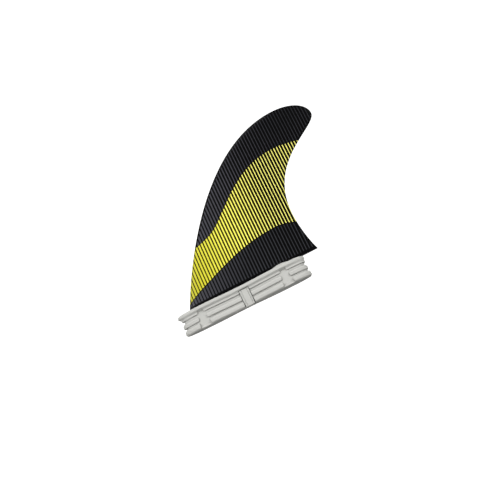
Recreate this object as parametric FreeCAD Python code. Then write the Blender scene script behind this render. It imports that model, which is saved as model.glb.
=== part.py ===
import FreeCAD, Part
import os
from FreeCAD import Vector

# Surfboard fin standing in its moulded fin box. Millimetres, X towards the tail, Z up.
# The origin is the middle of the box's flat underside, and Y is across the blade.

# Fin box, as moulded: a bone-shaped body under a crowned lip
BOX_LENGTH = 110.0
BOX_HEIGHT = 17.1
NOSE_LOBE_WIDTH = 16.4
NOSE_LOBE_FROM_NOSE = 23.25
WAIST_WIDTH = 11.8
WAIST_BEFORE_MIDDLE = 1.75
TAIL_LOBE_WIDTH = 18.4
TAIL_LOBE_FROM_TAIL = 20.75
NOSE_END_PULL = 5.4
NOSE_LOBE_PULL = 11.5
WAIST_PULL = 13.0
TAIL_LOBE_PULL = 12.0
TAIL_END_PULL = 6.4

# Lip, the only part of the box that shows once it is in a board
LIP_DEPTH = 2.5
LIP_UNDERCUT = 1.5
CROWN_HEIGHT = 1.7
CROWN_NOSE_INSET = 2.4
CROWN_SIDE_INSET = 1.2
CROWN_TAIL_INSET = 1.8
CROWN_SHOULDER_RISE_SHARE = 0.7
CROWN_SHOULDER_INSET_SHARE = 0.3

# Body behind the ribs, drawn in from the lip's outline
BODY_TOP_NOSE_INSET = 4.0
BODY_TOP_SIDE_INSET = 2.3
BODY_TOP_TAIL_INSET = 2.2
BODY_TOP_BELOW_RIB = 0.5
BODY_BEHIND_FOOT = 0.6
FOOT_HEIGHT = 1.6
FOOT_BEHIND_RIB = 0.4

# Three ribs that the resin keys into, each eased below and leaning in above its shoulder
UPPER_RIB_HEIGHT = 1.5
UPPER_GROOVE = 2.3
MIDDLE_RIB_HEIGHT = 3.5
LOWER_GROOVE = 1.5
UPPER_RIB_NOSE_INSET = 2.0
UPPER_RIB_SIDE_INSET = 1.2
UPPER_RIB_TAIL_INSET = 0.6
MIDDLE_RIB_NOSE_INSET = 1.4
MIDDLE_RIB_SIDE_INSET = 0.8
MIDDLE_RIB_TAIL_INSET = 0.6
LOWER_RIB_NOSE_INSET = 1.0
LOWER_RIB_TAIL_INSET = 0.2
MIDDLE_RIB_EDGE = 0.5
LOWER_RIB_EDGE = 0.9
RIB_SHOULDER_SHARE = 0.65
RIB_NOSE_LEAN = 1.2
RIB_SIDE_LEAN = 0.6
RIB_TAIL_LEAN = 0.9
UPPER_RIB_END_ROUND = 0.7
RIB_END_ROUND = 1.2

# Smooth lands between the rib ends, wider at the foot, and the gap round the tail
LAND_TOP_WIDTH = 3.6
LAND_FOOT_WIDTH = 9.8
NOSE_LAND_FROM_NOSE = 19.5
TAIL_LAND_FROM_TAIL = 19.7
TAIL_GAP_WIDTH = 3.6
TAIL_GAP_LENGTH = 5.0

# Clamp pad at the waist on each side, framed by two ridges, in a recess of its own
PAD_LENGTH = 7.9
PAD_LAG = 3.4
PAD_BELOW_LIP = 1.1
PAD_GAP = 0.5
PAD_INSET = 1.2
PAD_RIDGE_WIDTH = 1.5
PAD_RIDGE_HEIGHT = 0.75
PAD_CORNER = 1.0
PAD_ROOT_DEPTH = 0.5

# Low crowned bosses on the lip beside the rear socket
BOSS_LENGTH = 14.0
BOSS_RISE = 1.0
BOSS_WIDTH = 3.2
BOSS_TO_LIP_EDGE = 1.7

# Blade, side view
BLADE_BASE = 113.0
BLADE_DEPTH = 120.0
NOSE_TO_BLADE = 11.15
TOP_RAKE = 131.2
TIP_RAKE = 159.0
TIP_HEIGHT = 103.8
REAR_WAIST_RAKE = 106.6
REAR_WAIST_HEIGHT = 32.3
FRONT_ROOT_RAKE = 11.9
FRONT_ROOT_RISE = 27.2
FRONT_TOP_PULL = 68.2
TOP_PULL = 17.4
TIP_UPPER_PULL = 8.3
TIP_LOWER_PULL = 13.0
REAR_UPPER_PULL = 51.6
REAR_LOWER_PULL = 4.6
REAR_ROOT_RAKE = 5.5
REAR_ROOT_RISE = 12.6

# Blade, thickness: a symmetric foil that thins towards the tip
ROOT_THICKNESS = 7.0
TIP_THICKNESS = 2.4
REAR_EDGE_THICKNESS = 0.9
SECTION_COUNT = 14
SECTION_CROWDING = 1.5
LAST_SHARE = 0.995
TIP_FADE_POWER = 12
# Half of the foil as poles: share of the chord, share of the half thickness
FOIL_POLES = ((0.0, 0.0), (0.0, 0.33), (0.03, 0.73), (0.18, 1.86), (1.0, 0.0))

# Tabs under the blade and the sockets that take them
TAB_THICKNESS = 6.4
TAB_CORNER = 1.6
TAB_TOE_CHAMFER = 0.8
FRONT_TAB_LENGTH = 24.0
FRONT_TAB_LAG = 5.2
REAR_TAB_LENGTH = 26.0
REAR_TAB_LEAD = 4.2
SOCKET_CLEARANCE = 0.15
SOCKET_END_CLEARANCE = 0.5
SOCKET_FLOOR_CLEARANCE = 0.4
BOX_FLOOR = 3.3

# Cross pin that the front tab hooks under
PIN_DIAMETER = 3.0
PIN_GRIP = 1.7
PIN_ABOVE_TOE = 4.5
PIN_TO_SOCKET_END = 0.3
PIN_CLEARANCE = 0.15
PIN_CHAMFER = 0.3
MOULDED_IN_CLEARANCE = 0.03

# Roller and rubber spring that the rear tab snaps past
ROLLER_DIAMETER = 4.0
ROLLER_ABOVE_TOE = 6.7
ROLLER_BITE = 1.0
ROLLER_CLEARANCE = 0.15
ROLLER_CHAMFER = 0.3
SPRING_LENGTH = 4.4
SPRING_HEIGHT = 7.0
SPRING_WRAP = 1.4
SPRING_CLEARANCE = 0.1

# Places worked out from the sizes above
NOSE_X = -BOX_LENGTH / 2
TAIL_X = BOX_LENGTH / 2
NOSE_LOBE_X = NOSE_X + NOSE_LOBE_FROM_NOSE
WAIST_X = -WAIST_BEFORE_MIDDLE
TAIL_LOBE_X = TAIL_X - TAIL_LOBE_FROM_TAIL
ROOT_X = NOSE_X + NOSE_TO_BLADE
LIP_BOTTOM = BOX_HEIGHT - LIP_DEPTH
UPPER_RIB_TOP = LIP_BOTTOM - LIP_UNDERCUT
UPPER_RIB_BOTTOM = UPPER_RIB_TOP - UPPER_RIB_HEIGHT
MIDDLE_RIB_TOP = UPPER_RIB_BOTTOM - UPPER_GROOVE
MIDDLE_RIB_BOTTOM = MIDDLE_RIB_TOP - MIDDLE_RIB_HEIGHT
LOWER_RIB_TOP = MIDDLE_RIB_BOTTOM - LOWER_GROOVE
BODY_TOP = UPPER_RIB_TOP - BODY_TOP_BELOW_RIB
PAD_X = WAIST_X + PAD_LAG
PAD_TOP = LIP_BOTTOM - PAD_BELOW_LIP
PAD_FACE = WAIST_WIDTH / 2 - PAD_INSET
SOCKET_HALF = TAB_THICKNESS / 2 + SOCKET_CLEARANCE
TAB_BOTTOM = BOX_FLOOR + SOCKET_FLOOR_CLEARANCE
FRONT_TAB_X = NOSE_LOBE_X + FRONT_TAB_LAG - FRONT_TAB_LENGTH / 2
REAR_TAB_X = TAIL_LOBE_X - REAR_TAB_LEAD - REAR_TAB_LENGTH / 2
PIN_X = FRONT_TAB_X - SOCKET_END_CLEARANCE + PIN_TO_SOCKET_END + PIN_DIAMETER / 2
PIN_HEIGHT = TAB_BOTTOM + PIN_ABOVE_TOE
PIN_LENGTH = 2 * (SOCKET_HALF + PIN_GRIP)
ROLLER_X = REAR_TAB_X + REAR_TAB_LENGTH - ROLLER_BITE + ROLLER_DIAMETER / 2
ROLLER_HEIGHT = TAB_BOTTOM + ROLLER_ABOVE_TOE
SPRING_END_X = ROLLER_X + ROLLER_DIAMETER / 2 + SPRING_LENGTH
SPRING_WIDTH = 2 * (SOCKET_HALF - SPRING_CLEARANCE)

# How far a cut runs past what it cuts, and the limits for picking out edges and faces
BEYOND = 5.0
PARALLEL_RATIO = 0.9
HAIR = 0.01
ACROSS = Vector(0, 1, 0)
UP = Vector(0, 0, 1)


def bezier(*poles):
    curve = Part.BezierCurve()
    curve.setPoles([Vector(*pole) for pole in poles])
    return curve.toShape()


def block(x0, x1, y0, y1, z0, z1):
    return Part.makeBox(x1 - x0, y1 - y0, z1 - z0, Vector(x0, y0, z0))


def edges_along(shape, axis):
    """The edges of a shape that run along an axis."""
    return [e for e in shape.Edges if abs(e.tangentAt(e.FirstParameter).dot(axis)) > PARALLEL_RATIO]


def cross_rod(x, z, radius, length):
    """A rod lying across the blade."""
    return Part.makeCylinder(radius, length, Vector(x, -length / 2, z), ACROSS)


def chamfered_rod(x, z, diameter, length, chamfer):
    rod = cross_rod(x, z, diameter / 2, length)
    rims = [edge for edge in rod.Edges if isinstance(edge.Curve, Part.Circle)]
    return rod.makeChamfer(chamfer, rims)


def both_sides(shape):
    return shape.fuse(shape.mirror(Vector(0, 0, 0), ACROSS))


def box_outline(z, nose=0.0, side=0.0, tail=0.0):
    """The bone outline at height z, drawn in by these amounts at the nose, the sides and the tail."""
    x_nose = NOSE_X + nose
    x_tail = TAIL_X - tail

    def along(sign):
        nose_y = sign * (NOSE_LOBE_WIDTH / 2 - side)
        waist_y = sign * (WAIST_WIDTH / 2 - side)
        tail_y = sign * (TAIL_LOBE_WIDTH / 2 - side)
        return [
            bezier((x_nose, 0, z), (x_nose, sign * NOSE_END_PULL, z),
                   (NOSE_LOBE_X - NOSE_LOBE_PULL, nose_y, z), (NOSE_LOBE_X, nose_y, z)),
            bezier((NOSE_LOBE_X, nose_y, z), (NOSE_LOBE_X + WAIST_PULL, nose_y, z),
                   (WAIST_X - WAIST_PULL, waist_y, z), (WAIST_X, waist_y, z)),
            bezier((WAIST_X, waist_y, z), (WAIST_X + WAIST_PULL, waist_y, z),
                   (TAIL_LOBE_X - WAIST_PULL, tail_y, z), (TAIL_LOBE_X, tail_y, z)),
            bezier((TAIL_LOBE_X, tail_y, z), (TAIL_LOBE_X + TAIL_LOBE_PULL, tail_y, z),
                   (x_tail, sign * TAIL_END_PULL, z), (x_tail, 0, z)),
        ]

    return Part.Wire(along(1) + along(-1)[::-1])


def layer(*levels, ruled=True):
    """A slab through the bone outlines at levels given as (z, nose, side, tail)."""
    return Part.makeLoft([box_outline(*level) for level in levels], True, ruled)


def rounded_bar(x0, x1, half_width, corner, z0, z1):
    """An upright bar with its four upright edges rounded: a tab, or the room for one."""
    bar = block(x0, x1, -half_width, half_width, z0, z1)
    return bar.makeFillet(corner, edges_along(bar, UP))


# Lands, gap and pad recess: what interrupts the ribs
def land_prism(x):
    """A full-width cut that widens towards the foot."""
    top = LAND_TOP_WIDTH / 2
    foot = LAND_FOOT_WIDTH / 2
    half = max(NOSE_LOBE_WIDTH, TAIL_LOBE_WIDTH)
    corners = [(x - top, BOX_HEIGHT), (x + top, BOX_HEIGHT), (x + foot, 0), (x - foot, 0)]
    points = [Vector(px, -half, pz) for px, pz in corners + corners[:1]]
    return Part.Face(Part.makePolygon(points)).extrude(Vector(0, 2 * half, 0))


def pad_recess():
    """Room round the clamp pad, through the ribs and a little way up into the lip."""
    x0 = PAD_X - PAD_LENGTH / 2 - PAD_GAP
    x1 = PAD_X + PAD_LENGTH / 2 + PAD_GAP
    inner = WAIST_WIDTH / 2 - BODY_TOP_SIDE_INSET
    room = block(x0, x1, inner, WAIST_WIDTH, -BEYOND, PAD_TOP + PAD_GAP)
    upper = [e for e in edges_along(room, ACROSS) if e.CenterOfMass.z > 0]
    return both_sides(room.makeFillet(PAD_CORNER + PAD_GAP, upper))


def is_rib_end(face):
    """A rib end is a flat face across the rib, where a land interrupts it."""
    if not isinstance(face.Surface, Part.Plane):
        return False
    across = abs(face.Surface.Axis.x) > PARALLEL_RATIO
    away_from_pad = abs(face.CenterOfMass.x - PAD_X) > PAD_LENGTH
    return across and away_from_pad and face.BoundBox.XMax < TAIL_X - TAIL_GAP_LENGTH - HAIR


def break_up(rib):
    """The pieces left of a rib between the nose, the lands, the pads and the tail gap."""
    half = max(NOSE_LOBE_WIDTH, TAIL_LOBE_WIDTH)
    pad_room = block(PAD_X - PAD_LENGTH / 2 - PAD_GAP, PAD_X + PAD_LENGTH / 2 + PAD_GAP,
                     -half, half, -BEYOND, BOX_HEIGHT)
    tail_gap = block(TAIL_X - TAIL_GAP_LENGTH, TAIL_X + BEYOND,
                     -TAIL_GAP_WIDTH / 2, TAIL_GAP_WIDTH / 2, -BEYOND, BOX_HEIGHT)
    nose_land = land_prism(NOSE_X + NOSE_LAND_FROM_NOSE)
    tail_land = land_prism(TAIL_X - TAIL_LAND_FROM_TAIL)
    return rib.cut([nose_land, tail_land, pad_room, tail_gap]).Solids


def round_ends(pieces, radius, low=0.0, high=BOX_HEIGHT):
    """Round the corners that rib ends show from the side, where they lie between two heights."""
    rounded = []
    for piece in pieces:
        corners = [edge for face in piece.Faces if is_rib_end(face) for edge in edges_along(face, ACROSS)]
        free = [edge for edge in corners if low + HAIR < edge.CenterOfMass.z < high - HAIR]
        rounded.append(piece.makeFillet(radius, free))
    return rounded


# Fin box: body, foot, ribs and lip, then pads, bosses and the sockets
def crowned_lip():
    """The lip's outer wall and its softly rounded top."""
    wall_top = BOX_HEIGHT - CROWN_HEIGHT
    wall = layer((LIP_BOTTOM,), (wall_top,))
    insets = (CROWN_NOSE_INSET, CROWN_SIDE_INSET, CROWN_TAIL_INSET)
    shoulder = [CROWN_SHOULDER_INSET_SHARE * inset for inset in insets]
    crown = layer(
        (wall_top,),
        (wall_top + CROWN_SHOULDER_RISE_SHARE * CROWN_HEIGHT, *shoulder),
        (BOX_HEIGHT, *insets),
        ruled=False,
    )
    return wall.fuse(crown)


def keyed_rib(bottom, top, insets, edge):
    """A rib with an eased lower edge, upright to its shoulder and leaning in from there."""
    eased = [inset + edge for inset in insets]
    leaning = [inset + lean for inset, lean in zip(insets, (RIB_NOSE_LEAN, RIB_SIDE_LEAN, RIB_TAIL_LEAN))]
    shoulder = bottom + RIB_SHOULDER_SHARE * (top - bottom)
    return layer((bottom, *eased), (bottom + edge, *insets), (shoulder, *insets), (top, *leaning))


def ribs():
    upper_inset = (UPPER_RIB_NOSE_INSET, UPPER_RIB_SIDE_INSET, UPPER_RIB_TAIL_INSET)
    upper = layer((UPPER_RIB_BOTTOM, *upper_inset), (UPPER_RIB_TOP, *upper_inset))
    underside_of_lip = layer((UPPER_RIB_TOP, *upper_inset), (LIP_BOTTOM,))
    middle_inset = (MIDDLE_RIB_NOSE_INSET, MIDDLE_RIB_SIDE_INSET, MIDDLE_RIB_TAIL_INSET)
    middle = keyed_rib(MIDDLE_RIB_BOTTOM, MIDDLE_RIB_TOP, middle_inset, MIDDLE_RIB_EDGE)
    lower_inset = (LOWER_RIB_NOSE_INSET, 0, LOWER_RIB_TAIL_INSET)
    lower = keyed_rib(0, LOWER_RIB_TOP, lower_inset, LOWER_RIB_EDGE)
    pieces = break_up(underside_of_lip)
    pieces += round_ends(break_up(upper), UPPER_RIB_END_ROUND, high=UPPER_RIB_TOP)
    pieces += round_ends(break_up(middle), RIB_END_ROUND)
    pieces += round_ends(break_up(lower), RIB_END_ROUND, low=FOOT_HEIGHT)
    return pieces


def box_body():
    """What lies behind the ribs: the foot, the drawn-in body and the lip's underside."""
    rib_insets = (LOWER_RIB_NOSE_INSET, 0, LOWER_RIB_TAIL_INSET)
    foot_insets = [inset + LOWER_RIB_EDGE + FOOT_BEHIND_RIB for inset in rib_insets]
    body_insets = [inset + BODY_BEHIND_FOOT for inset in foot_insets]
    top_insets = (BODY_TOP_NOSE_INSET, BODY_TOP_SIDE_INSET, BODY_TOP_TAIL_INSET)
    foot = layer((0, *foot_insets), (LOWER_RIB_EDGE, *foot_insets), (FOOT_HEIGHT, *body_insets))
    body = layer((FOOT_HEIGHT, *body_insets), (BODY_TOP, *top_insets), (LIP_BOTTOM,))
    return foot.fuse(body)


def clamp_pad():
    """One pad: a flat panel between two half-round ridges, with rounded top corners."""
    x0 = PAD_X - PAD_LENGTH / 2
    x1 = PAD_X + PAD_LENGTH / 2
    inner_x0 = x0 + PAD_RIDGE_WIDTH
    inner_x1 = x1 - PAD_RIDGE_WIDTH
    root = WAIST_WIDTH / 2 - BODY_TOP_SIDE_INSET - PAD_ROOT_DEPTH
    crest = PAD_FACE + PAD_RIDGE_HEIGHT

    def ridge(start):
        end = start + PAD_RIDGE_WIDTH
        return Part.Arc(Vector(start, PAD_FACE, 0), Vector((start + end) / 2, crest, 0),
                        Vector(end, PAD_FACE, 0)).toShape()

    profile = Part.Wire([
        Part.makeLine(Vector(x0, root, 0), Vector(x0, PAD_FACE, 0)),
        ridge(x0),
        Part.makeLine(Vector(inner_x0, PAD_FACE, 0), Vector(inner_x1, PAD_FACE, 0)),
        ridge(inner_x1),
        Part.makeLine(Vector(x1, PAD_FACE, 0), Vector(x1, root, 0)),
        Part.makeLine(Vector(x1, root, 0), Vector(x0, root, 0)),
    ])
    pad = Part.Face(profile).extrude(Vector(0, 0, PAD_TOP))
    limit = block(x0, x1, 0, crest + BEYOND, -BEYOND, PAD_TOP)
    upper = [e for e in edges_along(limit, ACROSS) if e.CenterOfMass.z > 0]
    return pad.common(limit.makeFillet(PAD_CORNER, upper))


def lip_boss():
    """A low pad with an arched top, beside the rear socket."""
    outer = TAIL_LOBE_WIDTH / 2 - BOSS_TO_LIP_EDGE
    x = TAIL_X - TAIL_LAND_FROM_TAIL
    front = Vector(x - BOSS_LENGTH / 2, outer, BOX_HEIGHT)
    crest = Vector(x, outer, BOX_HEIGHT + BOSS_RISE)
    rear = Vector(x + BOSS_LENGTH / 2, outer, BOX_HEIGHT)
    arch = Part.Arc(front, crest, rear).toShape()
    return Part.Face(Part.Wire([arch, Part.makeLine(rear, front)])).extrude(ACROSS * -BOSS_WIDTH)


def socket(tab_x, tab_length):
    """Room for a tab, open at the top of the lip."""
    x0 = tab_x - SOCKET_END_CLEARANCE
    x1 = tab_x + tab_length + SOCKET_END_CLEARANCE
    return rounded_bar(x0, x1, SOCKET_HALF, TAB_CORNER, BOX_FLOOR, BOX_HEIGHT + BEYOND)


def spring_room():
    """Room for the roller and its spring, opening into the rear socket."""
    x0 = ROLLER_X - ROLLER_DIAMETER / 2 - ROLLER_CLEARANCE
    x1 = SPRING_END_X + SPRING_CLEARANCE
    half_height = SPRING_HEIGHT / 2 + SPRING_CLEARANCE
    return block(x0, x1, -SOCKET_HALF, SOCKET_HALF, ROLLER_HEIGHT - half_height, ROLLER_HEIGHT + half_height)


def pin_seat():
    """The hole that the moulding leaves round the cross pin."""
    radius = PIN_DIAMETER / 2 + MOULDED_IN_CLEARANCE
    return cross_rod(PIN_X, PIN_HEIGHT, radius, PIN_LENGTH + 2 * MOULDED_IN_CLEARANCE)


def fin_box():
    body = box_body().fuse(ribs() + [crowned_lip()]).cut(pad_recess())
    body = body.fuse([both_sides(clamp_pad()), both_sides(lip_boss())])
    front_socket = socket(FRONT_TAB_X, FRONT_TAB_LENGTH)
    rear_socket = socket(REAR_TAB_X, REAR_TAB_LENGTH)
    return body.cut([front_socket, rear_socket, spring_room(), pin_seat()]).removeSplitter()


# What holds the tabs in the box
def hook_pin():
    return chamfered_rod(PIN_X, PIN_HEIGHT, PIN_DIAMETER, PIN_LENGTH, PIN_CHAMFER)


def detent_roller():
    return chamfered_rod(ROLLER_X, ROLLER_HEIGHT, ROLLER_DIAMETER, SPRING_WIDTH, ROLLER_CHAMFER)


def detent_spring():
    """A rubber block behind the roller, hollowed to wrap round its back."""
    x0 = ROLLER_X + ROLLER_DIAMETER / 2 - SPRING_WRAP
    z0 = ROLLER_HEIGHT - SPRING_HEIGHT / 2
    rubber = block(x0, SPRING_END_X, -SPRING_WIDTH / 2, SPRING_WIDTH / 2, z0, z0 + SPRING_HEIGHT)
    hollow_radius = ROLLER_DIAMETER / 2 + SPRING_CLEARANCE
    return rubber.cut(cross_rod(ROLLER_X, ROLLER_HEIGHT, hollow_radius, TAIL_LOBE_WIDTH))


# Blade: two edges drawn from the root to the tip, with foil sections between them
def at(rake, height):
    """A point of the blade's side view, from the front of its root."""
    return (ROOT_X + rake, 0, BOX_HEIGHT + height)


def front_edge():
    rising = bezier(at(0, 0), at(FRONT_ROOT_RAKE, FRONT_ROOT_RISE),
                    at(TOP_RAKE - FRONT_TOP_PULL, BLADE_DEPTH), at(TOP_RAKE, BLADE_DEPTH))
    over_top = bezier(at(TOP_RAKE, BLADE_DEPTH), at(TOP_RAKE + TOP_PULL, BLADE_DEPTH),
                      at(TIP_RAKE, TIP_HEIGHT + TIP_UPPER_PULL), at(TIP_RAKE, TIP_HEIGHT))
    return [rising, over_top]


def rear_edge():
    waist = at(REAR_WAIST_RAKE, REAR_WAIST_HEIGHT)
    foot = bezier(at(BLADE_BASE, 0), at(BLADE_BASE - REAR_ROOT_RAKE, REAR_ROOT_RISE),
                  at(REAR_WAIST_RAKE, REAR_WAIST_HEIGHT - REAR_LOWER_PULL), waist)
    hollow = bezier(waist, at(REAR_WAIST_RAKE, REAR_WAIST_HEIGHT + REAR_UPPER_PULL),
                    at(TIP_RAKE, TIP_HEIGHT - TIP_LOWER_PULL), at(TIP_RAKE, TIP_HEIGHT))
    return [foot, hollow]


def walk(edges, share):
    """The point at a share of the length along joined edges."""
    left = share * sum(edge.Length for edge in edges)
    for edge in edges:
        if left <= edge.Length:
            return edge.valueAt(edge.getParameterByLength(left))
        left -= edge.Length
    return edges[-1].valueAt(edges[-1].LastParameter)


def foil_section(front, rear, thickness, edge_thickness):
    """A closed foil between two points: a round nose and a thin flat rear edge."""
    def side(sign):
        poles = []
        for along, across in FOIL_POLES:
            half = across * (thickness - along * edge_thickness) / 2 + along * edge_thickness / 2
            point = front + (rear - front) * along
            poles.append((point.x, sign * half, point.z))
        return bezier(*poles)

    across = Vector(0, edge_thickness / 2, 0)
    return Part.Wire([side(1), Part.makeLine(rear + across, rear - across), side(-1)])


def foil():
    front = front_edge()
    rear = rear_edge()
    sections = []
    for number in range(SECTION_COUNT + 1):
        share = LAST_SHARE * (1 - (1 - number / SECTION_COUNT) ** SECTION_CROWDING)
        fade = 1 - share ** TIP_FADE_POWER
        thickness = (ROOT_THICKNESS + (TIP_THICKNESS - ROOT_THICKNESS) * share) * fade
        edge_thickness = REAR_EDGE_THICKNESS * fade
        sections.append(foil_section(walk(front, share), walk(rear, share), thickness, edge_thickness))
    return Part.makeLoft(sections, True, False)


def tab(x, length):
    """One tab, with a chamfered toe that leads it into its socket."""
    bar = rounded_bar(x, x + length, TAB_THICKNESS / 2, TAB_CORNER, TAB_BOTTOM, BOX_HEIGHT)
    toes = [e for e in bar.Edges if e.BoundBox.ZMax < TAB_BOTTOM + TAB_TOE_CHAMFER]
    return bar.makeChamfer(TAB_TOE_CHAMFER, toes)


def fin_blade():
    """The laminated blade with its two tabs: one notched for the pin, one for the roller."""
    notch_radius = PIN_DIAMETER / 2 + PIN_CLEARANCE
    notch = cross_rod(PIN_X, PIN_HEIGHT, notch_radius, TAIL_LOBE_WIDTH)
    mouth = block(FRONT_TAB_X - BEYOND, PIN_X, -TAB_THICKNESS, TAB_THICKNESS,
                  PIN_HEIGHT - notch_radius, PIN_HEIGHT + notch_radius)
    detent_radius = ROLLER_DIAMETER / 2 + ROLLER_CLEARANCE
    detent = cross_rod(ROLLER_X, ROLLER_HEIGHT, detent_radius, TAIL_LOBE_WIDTH)
    front = tab(FRONT_TAB_X, FRONT_TAB_LENGTH).cut([notch, mouth])
    rear = tab(REAR_TAB_X, REAR_TAB_LENGTH).cut(detent)
    return foil().fuse([front, rear])


# One STEP file for each piece
os.makedirs("parts", exist_ok=True)
for make in (fin_blade, fin_box, hook_pin, detent_roller, detent_spring):
    name = make.__name__
    shape = make()
    shape.exportStep(f"parts/{name}.step")
    print(name, "solids", len(shape.Solids), "valid", shape.isValid(), "volume", round(shape.Volume, 1))
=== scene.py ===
import math

import bmesh
import bpy
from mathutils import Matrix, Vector, geometry, kdtree


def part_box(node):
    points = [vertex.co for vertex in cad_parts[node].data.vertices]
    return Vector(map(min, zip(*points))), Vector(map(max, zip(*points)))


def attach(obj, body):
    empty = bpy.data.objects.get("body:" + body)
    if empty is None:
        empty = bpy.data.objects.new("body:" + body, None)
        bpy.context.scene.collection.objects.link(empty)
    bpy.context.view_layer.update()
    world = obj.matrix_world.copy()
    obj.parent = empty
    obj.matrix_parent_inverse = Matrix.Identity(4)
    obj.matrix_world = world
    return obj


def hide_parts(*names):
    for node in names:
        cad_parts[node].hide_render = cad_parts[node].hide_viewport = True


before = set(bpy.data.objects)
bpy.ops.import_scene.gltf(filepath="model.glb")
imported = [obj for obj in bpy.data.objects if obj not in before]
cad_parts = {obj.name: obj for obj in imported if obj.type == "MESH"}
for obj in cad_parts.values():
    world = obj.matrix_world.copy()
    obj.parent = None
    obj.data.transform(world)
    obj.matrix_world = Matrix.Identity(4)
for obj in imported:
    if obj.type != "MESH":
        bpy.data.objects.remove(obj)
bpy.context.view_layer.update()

MM = 0.001


# Fin box: one injection moulding in light grey glass-filled nylon, spark-eroded tool finish.
# The glass gives it a dry satin skin with a fine grain, and the long flow marks hardly show.
BOX_COLOUR = "C4C4C0"
BOX_SHADE = "BBBBB7"
BOX_GRAIN_MM = 0.35
BOX_FLOW_MM = 14.0
CORNER_MM = 1.1
CORNER_OPEN = (0.45, 0.95)
CORNER_SHADE = 0.6
BOX_ROUGHNESS = (0.62, 0.78)
BOX_GRAIN_DEPTH_MM = 0.03
BOX_GRAIN_SHOWS = 0.25
NYLON_IOR = 1.53
SATIN_SHINE = 0.06


def linear(colour):
    """Turns a hex sRGB colour into the linear RGBA that shaders take."""
    channels = [int(colour[i:i + 2], 16) / 255 for i in (0, 2, 4)]
    return [c / 12.92 if c <= 0.04045 else ((c + 0.055) / 1.055) ** 2.4 for c in channels] + [1.0]


def add_node(material, kind, settings=None, inputs=None):
    """Adds one node. An input is a value, a socket, or a node that gives its first output."""
    tree = material.node_tree
    made = tree.nodes.new(kind)
    for name, value in (settings or {}).items():
        setattr(made, name, value)
    for name, value in (inputs or {}).items():
        if isinstance(value, bpy.types.Node):
            value = value.outputs[0]
        if isinstance(value, bpy.types.NodeSocket):
            tree.links.new(value, made.inputs[name])
        else:
            made.inputs[name].default_value = value
    return made


def new_material(name):
    """An empty material with its output node, and the object's own coordinates in millimetres."""
    material = bpy.data.materials.new(name)
    material.use_nodes = True
    material.node_tree.nodes.clear()
    output = add_node(material, "ShaderNodeOutputMaterial")
    place = add_node(material, "ShaderNodeTexCoord")
    in_mm = add_node(material, "ShaderNodeMapping",
                     inputs={"Vector": place.outputs["Object"], "Scale": (1 / MM,) * 3})
    return material, output, in_mm


def dress(piece, material):
    """Gives a piece its one material."""
    piece.data.materials.clear()
    piece.data.materials.append(material)


nylon, nylon_out, nylon_mm = new_material("moulded_glass_filled_nylon")
grain = add_node(nylon, "ShaderNodeTexNoise",
                 inputs={"Vector": nylon_mm, "Scale": 1 / BOX_GRAIN_MM, "Detail": 3.0})
flow = add_node(nylon, "ShaderNodeTexNoise",
                inputs={"Vector": nylon_mm, "Scale": 1 / BOX_FLOW_MM, "Detail": 2.0})
nylon_colour = add_node(nylon, "ShaderNodeMix", {"data_type": "RGBA"}, {
    "Factor": flow, 6: linear(BOX_COLOUR), 7: linear(BOX_SHADE)})
# Painted shade: ambient occlusion darkens the base colour in corners, grooves and gaps, where shade falls.
corners = add_node(nylon, "ShaderNodeAmbientOcclusion", {"samples": 8, "only_local": True},
                   {"Distance": CORNER_MM * MM}).outputs["AO"]
painted_corner_shade = add_node(nylon, "ShaderNodeMapRange", inputs={
    "Value": corners, "From Min": CORNER_OPEN[0], "From Max": CORNER_OPEN[1], "To Min": CORNER_SHADE})
nylon_colour_with_painted_corner_shade = add_node(nylon, "ShaderNodeVectorMath", {"operation": "SCALE"}, {
    0: nylon_colour.outputs[2], "Scale": painted_corner_shade})
nylon_roughness = add_node(nylon, "ShaderNodeMapRange", inputs={
    "Value": grain, "To Min": BOX_ROUGHNESS[0], "To Max": BOX_ROUGHNESS[1]})
nylon_bump = add_node(nylon, "ShaderNodeBump", inputs={
    "Strength": BOX_GRAIN_SHOWS, "Distance": BOX_GRAIN_DEPTH_MM * MM, "Height": grain})
nylon_shader = add_node(nylon, "ShaderNodeBsdfPrincipled", inputs={
    "Base Color": nylon_colour_with_painted_corner_shade.outputs[0], "Roughness": nylon_roughness, "Normal": nylon_bump,
    "IOR": NYLON_IOR, "Specular IOR Level": SATIN_SHINE})
nylon.node_tree.links.new(nylon_shader.outputs[0], nylon_out.inputs["Surface"])
dress(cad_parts["fin_box"], nylon)


# Cross pin and roller: centreless-ground stainless rod, cut to length with chamfered ends.
# Grinding leaves rings of very fine scratches round the rod, so its shine is drawn out along it.
STEEL_COLOUR = "C9C8C5"
GRIND_MM = 0.12
GRIND_RUN_MM = 20.0
STEEL_ROUGHNESS = (0.18, 0.34)

steel, steel_out, steel_mm = new_material("ground_stainless_rod")
rings = add_node(steel, "ShaderNodeMapping", inputs={
    "Vector": steel_mm, "Scale": (1 / GRIND_RUN_MM, 1 / GRIND_MM, 1 / GRIND_RUN_MM)})
scratches = add_node(steel, "ShaderNodeTexNoise", inputs={"Vector": rings, "Scale": 1.0, "Detail": 2.0})
steel_roughness = add_node(steel, "ShaderNodeMapRange", inputs={
    "Value": scratches, "To Min": STEEL_ROUGHNESS[0], "To Max": STEEL_ROUGHNESS[1]})
steel_shader = add_node(steel, "ShaderNodeBsdfPrincipled", inputs={
    "Base Color": linear(STEEL_COLOUR), "Metallic": 1.0, "Roughness": steel_roughness})
steel.node_tree.links.new(steel_shader.outputs[0], steel_out.inputs["Surface"])
dress(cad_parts["hook_pin"], steel)
dress(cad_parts["detent_roller"], steel)


# Detent spring: a block of black nitrile rubber, cut from moulded sheet and pressed behind the roller.
# Its cut faces are dull and slightly mottled.
RUBBER_COLOUR = "1B1B1C"
RUBBER_MOTTLE_MM = 0.8
RUBBER_ROUGHNESS = (0.7, 0.9)
RUBBER_IOR = 1.52

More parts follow.
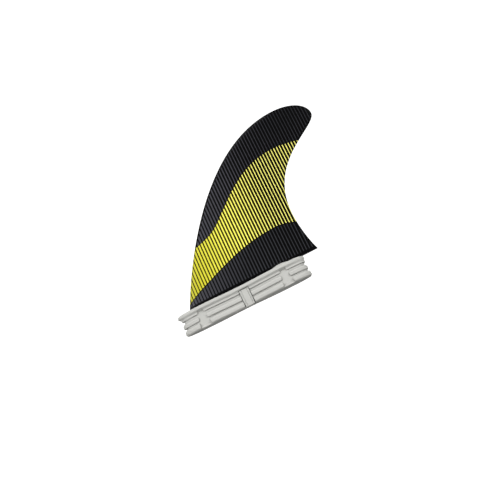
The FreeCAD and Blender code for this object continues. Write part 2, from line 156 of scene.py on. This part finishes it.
rubber, rubber_out, rubber_mm = new_material("black_nitrile_rubber")
mottle = add_node(rubber, "ShaderNodeTexNoise", inputs={
    "Vector": rubber_mm, "Scale": 1 / RUBBER_MOTTLE_MM})
rubber_roughness = add_node(rubber, "ShaderNodeMapRange", inputs={
    "Value": mottle, "To Min": RUBBER_ROUGHNESS[0], "To Max": RUBBER_ROUGHNESS[1]})
rubber_shader = add_node(rubber, "ShaderNodeBsdfPrincipled", inputs={
    "Base Color": linear(RUBBER_COLOUR), "Roughness": rubber_roughness, "IOR": RUBBER_IOR})
rubber.node_tree.links.new(rubber_shader.outputs[0], rubber_out.inputs["Surface"])
dress(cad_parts["detent_spring"], rubber)


# Blade: glass cloth and carbon strands laid up in resin and pressed to a symmetric foil, tabs and all.
# The front and rear edges are four curves, and each foil section runs between equal shares of them.
BLADE_LOW, BLADE_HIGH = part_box("fin_blade")
BLADE_DEPTH = 120.0 * MM
DECK = BLADE_HIGH.z - BLADE_DEPTH
ROOT_X = BLADE_LOW.x
RISING_EDGE = ((0, 0), (11.9, 27.2), (63.0, 120.0), (131.2, 120.0))
TOP_EDGE = ((131.2, 120.0), (148.6, 120.0), (159.0, 112.1), (159.0, 103.8))
FOOT_EDGE = ((111.9, 0), (107.6, 11.8), (106.6, 27.7), (106.6, 32.3))
HOLLOW_EDGE = ((106.6, 32.3), (106.6, 83.9), (159.0, 90.8), (159.0, 103.8))
EDGE_STEPS = 400
# Poles of half a foil section, as shares of its chord and of half its thickness
FOIL_X = (0.0, 0.0, 0.03, 0.18, 1.0)
FOIL_Y = (0.0, 0.33, 0.73, 1.86, 0.0)
ROOT_THICKNESS = 7.0 * MM
TIP_THICKNESS = 2.4 * MM
REAR_EDGE_THICKNESS = 0.9 * MM
TIP_FADE_POWER = 12
CHORD_STEPS = 110
SPAN_STEPS = 230
LAST_SECTION = 0.995
CREASE = math.radians(35)
SEAM_GAP = 0.001 * MM
TIP_GAP = 0.005 * MM
TAB_TOP_BELOW_DECK = 0.02 * MM


def outline(*curves):
    """Points along joined curves of the side view, each with its share of the whole length."""
    points = []
    for curve in curves:
        knots = [Vector((ROOT_X + x * MM, 0, DECK + z * MM)) for x, z in curve]
        points += geometry.interpolate_bezier(*knots, EDGE_STEPS)[bool(points):]
    shares = [0.0]
    for before, after in zip(points, points[1:]):
        shares.append(shares[-1] + (after - before).length)
    return points, [share / shares[-1] for share in shares]


def walk(edge, share):
    """The point of an outline at a share of its length."""
    points, shares = edge
    i = min(max(sum(1 for s in shares if s < share), 1), len(points) - 1)
    part = (share - shares[i - 1]) / (shares[i] - shares[i - 1])
    return points[i - 1].lerp(points[i], part)


def bernstein(poles, t):
    """The value at t of the Bezier curve with these poles."""
    degree = len(poles) - 1
    return sum(math.comb(degree, i) * t ** i * (1 - t) ** (degree - i) * p for i, p in enumerate(poles))


front_edge = outline(RISING_EDGE, TOP_EDGE)
rear_edge = outline(FOOT_EDGE, HOLLOW_EDGE)
section_ends = {}


def on_foil(around, along):
    """A point on the left half: around is 0 at the front, 1 at the rear corner, and more on the rear face."""
    if along not in section_ends:
        section_ends[along] = walk(front_edge, along), walk(rear_edge, along)
    front, rear = section_ends[along]
    fade = 1 - along ** TIP_FADE_POWER
    thickness = (ROOT_THICKNESS + (TIP_THICKNESS - ROOT_THICKNESS) * along) * fade
    edge = REAR_EDGE_THICKNESS * fade
    point = front.lerp(rear, bernstein(FOIL_X, min(around, 1)))
    if around <= 1:
        poles = [y * (thickness - x * edge) / 2 + x * edge / 2 for x, y in zip(FOIL_X, FOIL_Y)]
        point.y = -bernstein(poles, around)
    return point


blade_bm = bmesh.new()
bmesh.ops.create_grid(blade_bm, x_segments=CHORD_STEPS, y_segments=SPAN_STEPS, size=0.5)
for vert in blade_bm.verts:
    column = round((vert.co.x + 0.5) * CHORD_STEPS)
    row = round((vert.co.y + 0.5) * SPAN_STEPS)
    vert.co = on_foil(column / (CHORD_STEPS - 1), LAST_SECTION * row / SPAN_STEPS)
bmesh.ops.mirror(blade_bm, geom=blade_bm.verts[:] + blade_bm.edges[:] + blade_bm.faces[:],
                 axis="Y", merge_dist=SEAM_GAP)
bmesh.ops.remove_doubles(blade_bm, verts=blade_bm.verts, dist=TIP_GAP)
bmesh.ops.holes_fill(blade_bm, edges=[edge for edge in blade_bm.edges if edge.is_boundary])

# The tabs are the moulded foot of the same laminate, taken as they stand below the deck.
tabs_bm = bmesh.new()
tabs_bm.from_mesh(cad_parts["fin_blade"].data)
bmesh.ops.remove_doubles(tabs_bm, verts=tabs_bm.verts, dist=SEAM_GAP)
bmesh.ops.bisect_plane(
    tabs_bm, geom=tabs_bm.verts[:] + tabs_bm.edges[:] + tabs_bm.faces[:],
    plane_co=(0, 0, DECK - TAB_TOP_BELOW_DECK), plane_no=(0, 0, 1), clear_outer=True)
bmesh.ops.holes_fill(tabs_bm, edges=[edge for edge in tabs_bm.edges if edge.is_boundary])
tabs_mesh = bpy.data.meshes.new("tabs")
tabs_bm.to_mesh(tabs_mesh)
tabs_bm.free()
blade_bm.from_mesh(tabs_mesh)
bpy.data.meshes.remove(tabs_mesh)
bmesh.ops.recalc_face_normals(blade_bm, faces=blade_bm.faces)
for face in blade_bm.faces:
    face.smooth = True
for edge in blade_bm.edges:
    edge.smooth = edge.calc_face_angle(math.pi) < CREASE

# How far each point lies from the outline of the side view, for the painted rim and the painted shade along
# the edges.
around_blade = front_edge[0] + rear_edge[0]
nearest = kdtree.KDTree(len(around_blade))
for number, point in enumerate(around_blade):
    nearest.insert(point, number)
nearest.balance()
to_rim = blade_bm.verts.layers.float.new("to_rim_mm")
for vert in blade_bm.verts:
    vert[to_rim] = nearest.find((vert.co.x, 0, vert.co.z))[2] / MM

blade_mesh = bpy.data.meshes.new("striped_blade")
blade_bm.to_mesh(blade_mesh)
blade_bm.free()
blade = bpy.data.objects.new("striped_blade", blade_mesh)
bpy.context.collection.objects.link(blade)
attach(blade, "root")
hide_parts("fin_blade")

# Blade finish: carbon strands side by side over cloth that is yellow in a swept band and charcoal
# elsewhere, under clear epoxy. The eye sees crisp black lines, and a dull shine that follows the strands.
STRAND_PITCH_MM = 2.52
STRAND_PHASE_MM = 1.1
STRAND_LEAN = 0.0175
STRAND_HALF_FRONT_MM = 0.42
STRAND_HALF_REAR_MM = 0.93
STRAND_WIDENS_MM = (5.0, 95.0)
STRAND_SOFT_MM = 0.06
STRAND_RISE_MM = 0.05
STRAND_RISE_SHOWS = 0.3
YELLOW_FRONT = "FFF845"
YELLOW_REAR = "FFFA80"
YELLOW_STRAND_FRONT = "3A3500"
YELLOW_STRAND_REAR = "0A0700"
YELLOW_TURNS_MM = (20.0, 100.0)
YELLOW_SHADE = 0.54
YELLOW_SHADE_MM = (5.0, 60.0)
CHARCOAL_FRONT = "46464C"
CHARCOAL_REAR = "333438"
CHARCOAL_LEAN = 0.8
CHARCOAL_FADES_MM = (5.0, 46.0)
TIP_DARKENS_MM = (80.0, 118.0)
TIP_SHADE = 0.55
CARBON = "030304"
RIM_MM = 1.3
FOOT_STRIP_MM = 2.7
BAND_LINE_MM = 0.8
PAINT_SOFT_MM = 0.15
EDGE_SHADE = 0.75
EDGE_SHADE_MM = 2.5
FIBRE_MM = 0.22
FIBRE_RUN_MM = 9.0
FIBRE_LIGHT = (0.86, 1.14)
EPOXY_ROUGHNESS = (0.26, 0.38)
EPOXY_IOR = 1.5
CURVE_WIDE_MM = 160.0
CURVE_TALL_MM = 120.0
BAND_TOP = ((0, 39.2), (25.5, 43.8), (32.9, 45.4), (42.5, 49.1), (58.5, 61.6), (74.7, 74.8), (91.0, 84.3),
            (107.4, 89.1), (127.0, 89.2), (160, 80))
BAND_FOOT = ((0, 3.6), (11.4, 9.3), (27.0, 15.3), (45.9, 22.1), (65.0, 27.4), (84.0, 30.0), (93.5, 30.2),
             (106.3, 27.1), (160, 10))

laminate, laminate_out, laminate_mm = new_material("striped_carbon_and_glass_laminate")
laminate_mm.inputs["Location"].default_value = (-ROOT_X / MM, 0, -DECK / MM)
side_view = add_node(laminate, "ShaderNodeSeparateXYZ", inputs={"Vector": laminate_mm})
rake, height = side_view.outputs["X"], side_view.outputs["Z"]


def band_edge(points):
    """One edge of the yellow band: its height at each rake, as a smooth curve through the given points."""
    share = add_node(laminate, "ShaderNodeMath", {"operation": "DIVIDE"}, {0: rake, 1: CURVE_WIDE_MM})
    curve = add_node(laminate, "ShaderNodeFloatCurve", inputs={"Value": share})
    line = curve.mapping.curves[0]
    for x, z in points[1:-1]:
        line.points.new(x / CURVE_WIDE_MM, z / CURVE_TALL_MM)
    for end, (x, z) in ((line.points[0], points[0]), (line.points[-1], points[-1])):
        end.location = (x / CURVE_WIDE_MM, z / CURVE_TALL_MM)
    curve.mapping.update()
    return add_node(laminate, "ShaderNodeMath", {"operation": "MULTIPLY"}, {0: curve, 1: CURVE_TALL_MM})


def inside(soft, *edges):
    """The share of cover inside painted edges. Each edge is two measures, the first larger inside it."""
    cover = 1.0
    for larger, smaller in edges:
        depth = add_node(laminate, "ShaderNodeMath", {"operation": "SUBTRACT"}, {0: larger, 1: smaller})
        step = add_node(laminate, "ShaderNodeMapRange", {"interpolation_type": "SMOOTHSTEP"}, {
            "Value": depth, "From Min": -soft, "From Max": soft})
        cover = add_node(laminate, "ShaderNodeMath", {"operation": "MULTIPLY"}, {0: cover, 1: step})
    return cover


def laid_up(base, *layers):
    """The colour of layers on a base. Each layer is its cover and its colour, a hex colour or a socket."""
    colour = linear(base) if isinstance(base, str) else base
    for cover, top in layers:
        top = linear(top) if isinstance(top, str) else top
        colour = add_node(laminate, "ShaderNodeMix", {"data_type": "RGBA"}, {
            "Factor": cover, 6: colour, 7: top}).outputs[2]
    return colour


# Where each strand, line and field lies on the side view
leant_rake = add_node(laminate, "ShaderNodeMath", inputs={0: rake, 1: STRAND_PHASE_MM})
across_strands = add_node(laminate, "ShaderNodeMath", {"operation": "MULTIPLY_ADD"}, {
    0: height, 1: -STRAND_LEAN, 2: leant_rake})
off_strand = add_node(laminate, "ShaderNodeMath", {"operation": "PINGPONG"}, {
    0: across_strands, 1: STRAND_PITCH_MM / 2})
strand_half = add_node(laminate, "ShaderNodeMapRange", inputs={
    "Value": rake, "From Min": STRAND_WIDENS_MM[0], "From Max": STRAND_WIDENS_MM[1],
    "To Min": STRAND_HALF_FRONT_MM, "To Max": STRAND_HALF_REAR_MM})
on_strand = inside(STRAND_SOFT_MM, (strand_half, off_strand))
band_foot, band_top = band_edge(BAND_FOOT), band_edge(BAND_TOP)
in_band = inside(PAINT_SOFT_MM, (height, band_foot), (band_top, height))
line_foot = add_node(laminate, "ShaderNodeMath", {"operation": "SUBTRACT"}, {0: band_foot, 1: BAND_LINE_MM})
line_top = add_node(laminate, "ShaderNodeMath", inputs={0: band_top, 1: BAND_LINE_MM / 2})
in_line = inside(PAINT_SOFT_MM, (height, line_foot), (line_top, height))
rim_distance = add_node(laminate, "ShaderNodeAttribute", {"attribute_name": "to_rim_mm"}).outputs["Fac"]
in_field = inside(PAINT_SOFT_MM, (rim_distance, RIM_MM), (height, FOOT_STRIP_MM))

# The two cloths, the strands on them, and the lines round them
rearward = add_node(laminate, "ShaderNodeMapRange", inputs={
    "Value": rake, "From Min": YELLOW_TURNS_MM[0], "From Max": YELLOW_TURNS_MM[1]})
yellow_cloth = laid_up(YELLOW_FRONT, (rearward, YELLOW_REAR))
yellow_strand = laid_up(YELLOW_STRAND_FRONT, (rearward, YELLOW_STRAND_REAR))
# Painted shade: the yellow is darker towards the front edge of the blade, where the foil turns away from the
# light.
painted_front_shade = add_node(laminate, "ShaderNodeMapRange", inputs={
    "Value": rake, "From Min": YELLOW_SHADE_MM[0], "From Max": YELLOW_SHADE_MM[1], "To Min": YELLOW_SHADE})
yellow = add_node(laminate, "ShaderNodeVectorMath", {"operation": "SCALE"}, {
    0: laid_up(yellow_cloth, (on_strand, yellow_strand)), "Scale": painted_front_shade})
# Painted sheen: the charcoal is lighter towards the front edge, where the curved foil catches the light, and
# falls to its rear colour behind it.
behind_front = add_node(laminate, "ShaderNodeMath", {"operation": "MULTIPLY_ADD"}, {
    0: height, 1: -CHARCOAL_LEAN, 2: rake})
painted_sheen_falloff = add_node(laminate, "ShaderNodeMapRange", inputs={
    "Value": behind_front, "From Min": CHARCOAL_FADES_MM[0], "From Max": CHARCOAL_FADES_MM[1]})
# Painted shade: the charcoal darkens towards the tip.
painted_tip_shade = add_node(laminate, "ShaderNodeMapRange", inputs={
    "Value": height, "From Min": TIP_DARKENS_MM[0], "From Max": TIP_DARKENS_MM[1],
    "To Min": 1.0, "To Max": TIP_SHADE})
charcoal = add_node(laminate, "ShaderNodeVectorMath", {"operation": "SCALE"}, {
    0: laid_up(CHARCOAL_FRONT, (painted_sheen_falloff, CHARCOAL_REAR)), "Scale": painted_tip_shade})
dark = laid_up(charcoal.outputs[0], (on_strand, CARBON), (in_line, CARBON))
cloth = laid_up(CARBON, (in_field, dark), (in_band, yellow.outputs[0]))

# Fine fibres lighten and darken the cloth, and painted shade darkens it near the outline, where the edges
# round away from the light.
stretched = add_node(laminate, "ShaderNodeMapping", inputs={
    "Vector": laminate_mm, "Scale": (1 / FIBRE_MM, 1 / FIBRE_MM, 1 / FIBRE_RUN_MM)})
fibres = add_node(laminate, "ShaderNodeTexNoise", inputs={"Vector": stretched, "Scale": 1.0, "Detail": 2.0})
fibre_light = add_node(laminate, "ShaderNodeMapRange", inputs={
    "Value": fibres, "To Min": FIBRE_LIGHT[0], "To Max": FIBRE_LIGHT[1]})
painted_edge_shade = add_node(laminate, "ShaderNodeMapRange", inputs={
    "Value": rim_distance, "From Max": EDGE_SHADE_MM, "To Min": EDGE_SHADE})
fibre_tone_and_painted_edge_shade = add_node(laminate, "ShaderNodeMath", {"operation": "MULTIPLY"}, {
    0: fibre_light, 1: painted_edge_shade})
cloth_with_fibres_and_painted_edge_shade = add_node(laminate, "ShaderNodeVectorMath", {"operation": "SCALE"}, {
    0: cloth, "Scale": fibre_tone_and_painted_edge_shade})
strand_bump = add_node(laminate, "ShaderNodeBump", inputs={
    "Strength": STRAND_RISE_SHOWS, "Distance": STRAND_RISE_MM * MM, "Height": on_strand})
laminate_roughness = add_node(laminate, "ShaderNodeMapRange", inputs={
    "Value": fibres, "To Min": EPOXY_ROUGHNESS[0], "To Max": EPOXY_ROUGHNESS[1]})
laminate_shader = add_node(laminate, "ShaderNodeBsdfPrincipled", inputs={
    "Base Color": cloth_with_fibres_and_painted_edge_shade.outputs[0], "Roughness": laminate_roughness, "Normal": strand_bump,
    "IOR": EPOXY_IOR, "Specular IOR Level": SATIN_SHINE})
laminate.node_tree.links.new(laminate_shader.outputs[0], laminate_out.inputs["Surface"])
dress(blade, laminate)
dress(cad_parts["fin_blade"], laminate)


# Studio: a round cove of pale board, whose floor runs up into its wall with no seam. Behind the fin the
# board glows as a sheet lit from its far side, so it reads as white. In front of the fin it glows faintly,
# and the floor between stays dim, which keeps the underside of the box in shade.
FLOOR_Z = -0.6
COVE_RADIUS = 2.6
COVE_BEND = 0.9
COVE_TOP = 3.2
BEND_STEPS = 24
COVE_STEPS = 96
BOARD_COLOUR = "ACACAA"
BOARD_ROUGHNESS = 0.9
BOARD_SHINE = 0.1
GLOW_BACK_Y = (1.0, 1.4)
GLOW_FRONT_Y = (-0.5, -1.7)
GLOW_FLOOR = 0.02
GLOW_BACK = 1.05
GLOW_FRONT = 0.25

cove_bm = bmesh.new()
arc = [math.pi / 2 * step / BEND_STEPS for step in range(BEND_STEPS + 1)]
profile = [(0, FLOOR_Z)]
profile += [(COVE_RADIUS - COVE_BEND + COVE_BEND * math.sin(a),
             FLOOR_Z + COVE_BEND - COVE_BEND * math.cos(a)) for a in arc]
profile.append((COVE_RADIUS, COVE_TOP))
line = [cove_bm.verts.new((x, 0, z)) for x, z in profile]
for low, high in zip(line, line[1:]):
    cove_bm.edges.new((low, high))
bmesh.ops.spin(cove_bm, geom=cove_bm.verts[:] + cove_bm.edges[:], cent=(0, 0, 0), axis=(0, 0, 1),
               angle=2 * math.pi, steps=COVE_STEPS, use_merge=True)
bmesh.ops.remove_doubles(cove_bm, verts=cove_bm.verts, dist=MM)
bmesh.ops.recalc_face_normals(cove_bm, faces=cove_bm.faces)
for face in cove_bm.faces:
    face.smooth = True
cove_mesh = bpy.data.meshes.new("glowing_cove")
cove_bm.to_mesh(cove_mesh)
cove_bm.free()
cove = bpy.data.objects.new("glowing_cove", cove_mesh)
bpy.context.collection.objects.link(cove)
board, board_out, board_mm = new_material("glowing_grey_board")
board_place = add_node(board, "ShaderNodeSeparateXYZ", inputs={"Vector": board_mm})
glow_back = add_node(board, "ShaderNodeMapRange", {"interpolation_type": "SMOOTHSTEP"}, {
    "Value": board_place.outputs["Y"], "From Min": GLOW_BACK_Y[0] / MM, "From Max": GLOW_BACK_Y[1] / MM,
    "To Min": GLOW_FLOOR, "To Max": GLOW_BACK})
glow_front = add_node(board, "ShaderNodeMapRange", {"interpolation_type": "SMOOTHSTEP"}, {
    "Value": board_place.outputs["Y"], "From Min": GLOW_FRONT_Y[0] / MM, "From Max": GLOW_FRONT_Y[1] / MM,
    "To Max": GLOW_FRONT})
glow = add_node(board, "ShaderNodeMath", inputs={0: glow_back, 1: glow_front})
board_shader = add_node(board, "ShaderNodeBsdfPrincipled", inputs={
    "Base Color": linear(BOARD_COLOUR), "Roughness": BOARD_ROUGHNESS, "Specular IOR Level": BOARD_SHINE,
    "Emission Color": linear("FFFFFF"), "Emission Strength": glow})
board.node_tree.links.new(board_shader.outputs[0], board_out.inputs["Surface"])
cove_mesh.materials.append(board)


# Lights: soft boxes to the left, right and top of the fin.
# None stands where the flat of the blade would mirror it into the camera, so the black strands stay black.
GRID_SPREAD = math.radians(30)
AIM = (0, 0, 0.06)
AIR_LIGHT = 0.02
SOFT_BOXES = {
    # place, side of its square front, watts
    "left_box": ((-0.85, -0.95, 0.45), 0.7, 0.82),
    "right_box": ((0.95, -0.85, 0.45), 0.7, 0.75),
    "top_box": ((-0.1, -0.65, 1.15), 0.6, 0.22),
}
for name, (place, size, watts) in SOFT_BOXES.items():
    light = bpy.data.lights.new(name, "AREA")
    light.shape = "SQUARE"
    light.size = size
    light.energy = watts
    light.spread = GRID_SPREAD
    lamp = bpy.data.objects.new(name, light)
    lamp.location = place
    lamp.rotation_euler = (Vector(AIM) - Vector(place)).to_track_quat("-Z", "Y").to_euler()
    lamp.visible_camera = False
    bpy.context.collection.objects.link(lamp)

world = bpy.data.worlds.new("studio_air")
world.use_nodes = True
world.node_tree.nodes["Background"].inputs["Color"].default_value = linear("FFFFFF")
world.node_tree.nodes["Background"].inputs["Strength"].default_value = AIR_LIGHT
bpy.context.scene.world = world
bpy.context.scene.view_settings.view_transform = "Standard"


# Camera: below the deck and looking up a little, rolled so that the box rises to the right.
FOCAL_PIXELS = 588.0
FRAME_PIXELS = 500
SENSOR_MM = 36.0
LOOK_AT = Vector((19.8, 0, 40.05)) * MM
DISTANCE = 465.3 * MM
LOOK_UP = math.radians(12.9)
ROLL = math.radians(26.5)
NEAREST_SEEN = 0.01

forward = Vector((0, math.cos(LOOK_UP), math.sin(LOOK_UP)))
level_up = Vector((0, -math.sin(LOOK_UP), math.cos(LOOK_UP)))
right = Vector((1, 0, 0)) * math.cos(ROLL) - level_up * math.sin(ROLL)
up = Vector((1, 0, 0)) * math.sin(ROLL) + level_up * math.cos(ROLL)
camera_data = bpy.data.cameras.new("camera")
camera_data.sensor_width = SENSOR_MM
camera_data.lens = SENSOR_MM * FOCAL_PIXELS / FRAME_PIXELS
camera_data.clip_start = NEAREST_SEEN
camera = bpy.data.objects.new("camera", camera_data)
turn = camera.matrix_world.to_3x3()
turn.col[0], turn.col[1], turn.col[2] = right, up, -forward
camera.matrix_world = turn.to_4x4()
camera.location = LOOK_AT - forward * DISTANCE
bpy.context.collection.objects.link(camera)
bpy.context.scene.camera = camera
